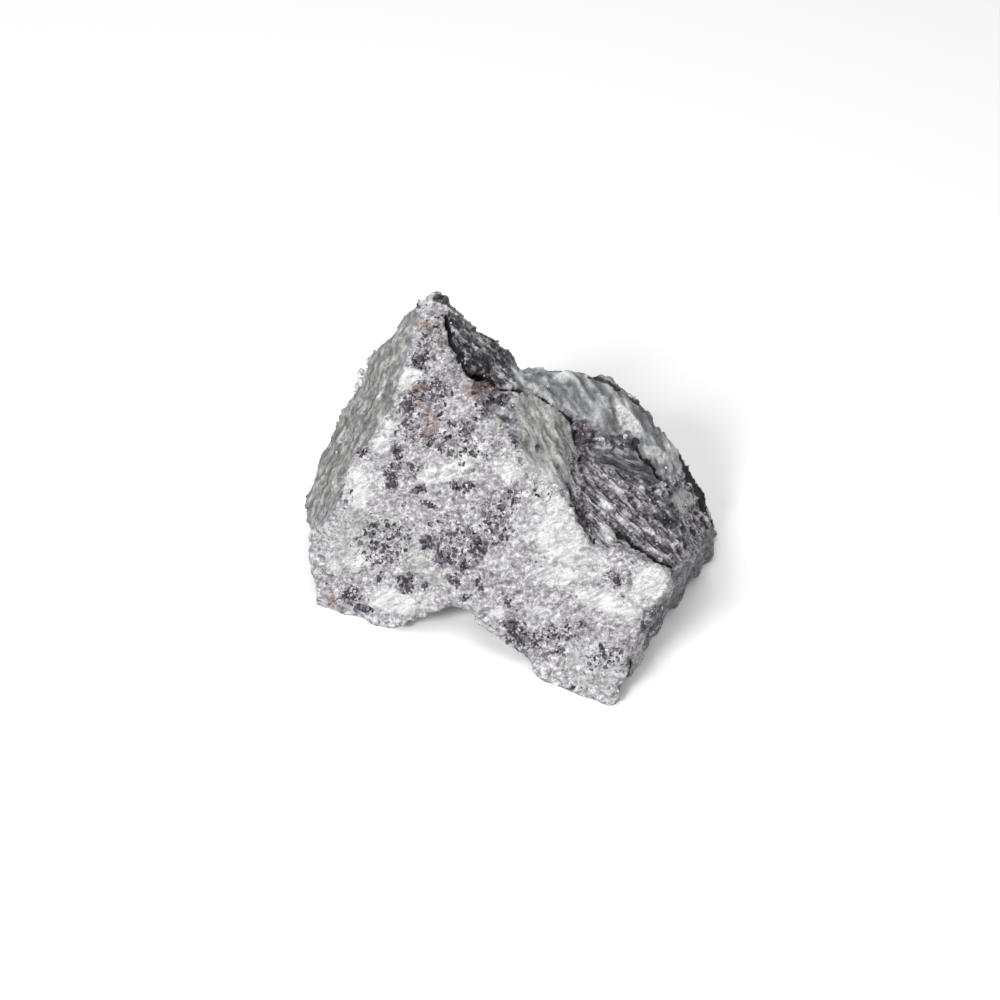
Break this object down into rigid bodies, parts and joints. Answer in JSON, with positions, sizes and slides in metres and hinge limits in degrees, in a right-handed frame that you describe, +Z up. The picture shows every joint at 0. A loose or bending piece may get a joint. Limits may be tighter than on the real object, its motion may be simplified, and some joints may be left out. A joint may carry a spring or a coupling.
{
  "type": "rough rock",
  "caption": "Rough broken lump of white and grey rock with purple mica: a leaning peak with a broad front fracture, a stepped flaky shoulder and a flat base.",
  "frame": {"origin": "centre of the bounding box, on the flat base", "axes": "+X across the front from the grey flank to the flaky shoulder, +Y from the bright front fracture to the back, +Z up"},
  "size_m": [0.0748, 0.0644, 0.0493],
  "materials": {
    "mica_rock": "rough broken stone, white and grey crystals with small glossy flakes of purple mica"
  },
  "bodies": {
    "root": {"rock": "mica_rock"}
  },
  "joints": []
}
